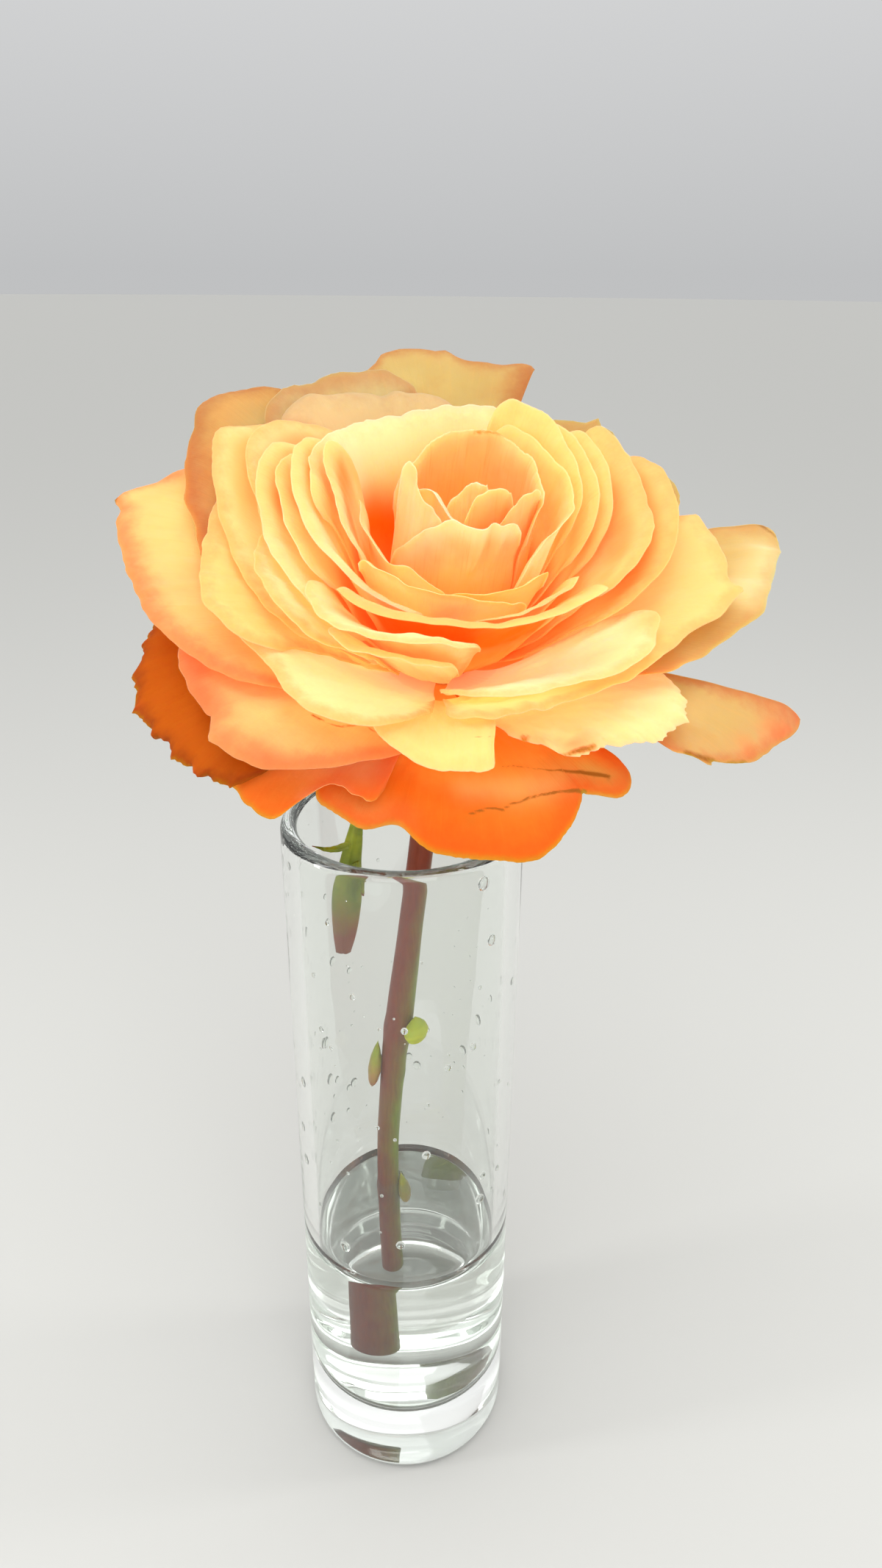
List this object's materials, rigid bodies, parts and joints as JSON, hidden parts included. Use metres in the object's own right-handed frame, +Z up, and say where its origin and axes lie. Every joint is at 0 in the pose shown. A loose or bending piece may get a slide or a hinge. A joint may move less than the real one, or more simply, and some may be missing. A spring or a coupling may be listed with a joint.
{
  "type": "rose in a bud vase",
  "caption": "A single fully open peach and orange rose, nodding forward, its cut stem standing in water in a clear cylinder bud vase with a thick foot.",
  "frame": {"origin": "middle of the vase's flat foot", "axes": "+Z up along the vase; the bloom nods towards -Y, the side that the picture was taken from; +X is to the right from there"},
  "size_m": [0.107, 0.0877, 0.2265],
  "materials": {
    "clear_glass": "polished",
    "water": "clear liquid",
    "stem_bark": "satin",
    "bud_green": "satin",
    "sepal_green": "matt",
    "petal_cream": "velvet",
    "petal_peach": "velvet",
    "petal_tan": "velvet",
    "petal_orange": "velvet",
    "petal_burnt": "velvet"
  },
  "bodies": {
    "root": {"vase": "clear_glass", "water": "water", "stem": "stem_bark", "stem_bud_upper": "bud_green", "stem_bud_middle": "bud_green", "stem_bud_lower": "bud_green", "hip": "sepal_green", "petal_heart_a": "petal_peach", "petal_heart_b": "petal_peach", "petal_heart_c": "petal_peach", "petal_core_front": "petal_peach", "petal_core_right": "petal_peach", "petal_core_left": "petal_peach", "petal_core_back": "petal_peach", "petal_a_right": "petal_cream", "petal_a_left": "petal_cream", "petal_a_front": "petal_cream", "petal_b_right": "petal_cream", "petal_b_left": "petal_cream", "petal_b_front": "petal_cream", "petal_c_back": "petal_cream", "petal_c_right": "petal_cream", "petal_c_front": "petal_cream", "petal_d_left": "petal_cream", "petal_d_front": "petal_cream", "petal_d_right": "petal_cream", "petal_e_left": "petal_cream", "petal_e_low": "petal_cream", "petal_e_right": "petal_cream", "petal_f_left": "petal_cream", "petal_f_low": "petal_cream", "petal_f_right": "petal_cream", "petal_g_left": "petal_cream", "petal_g_back": "petal_cream", "petal_h_left": "petal_cream", "petal_h_front": "petal_cream", "petal_back_right": "petal_tan", "petal_i_left": "petal_cream", "petal_back_inner": "petal_tan", "petal_i_low": "petal_cream", "petal_i_right": "petal_cream", "petal_back_left": "petal_tan", "petal_front_square": "petal_cream", "petal_back_top": "petal_tan", "petal_right_pale": "petal_cream", "petal_left_pointed": "petal_peach", "petal_right_ragged": "petal_cream", "petal_back_low_right": "petal_peach", "petal_left_low": "petal_peach", "petal_back_low_left": "petal_peach", "petal_right_low": "petal_peach", "petal_left_burnt": "petal_burnt", "petal_front_left": "petal_orange", "petal_front_hanging": "petal_orange", "sepal_right": "sepal_green", "sepal_back_right": "sepal_green", "sepal_back_left": "sepal_green", "sepal_left": "sepal_green", "sepal_long": "sepal_green"}
  },
  "joints": []
}
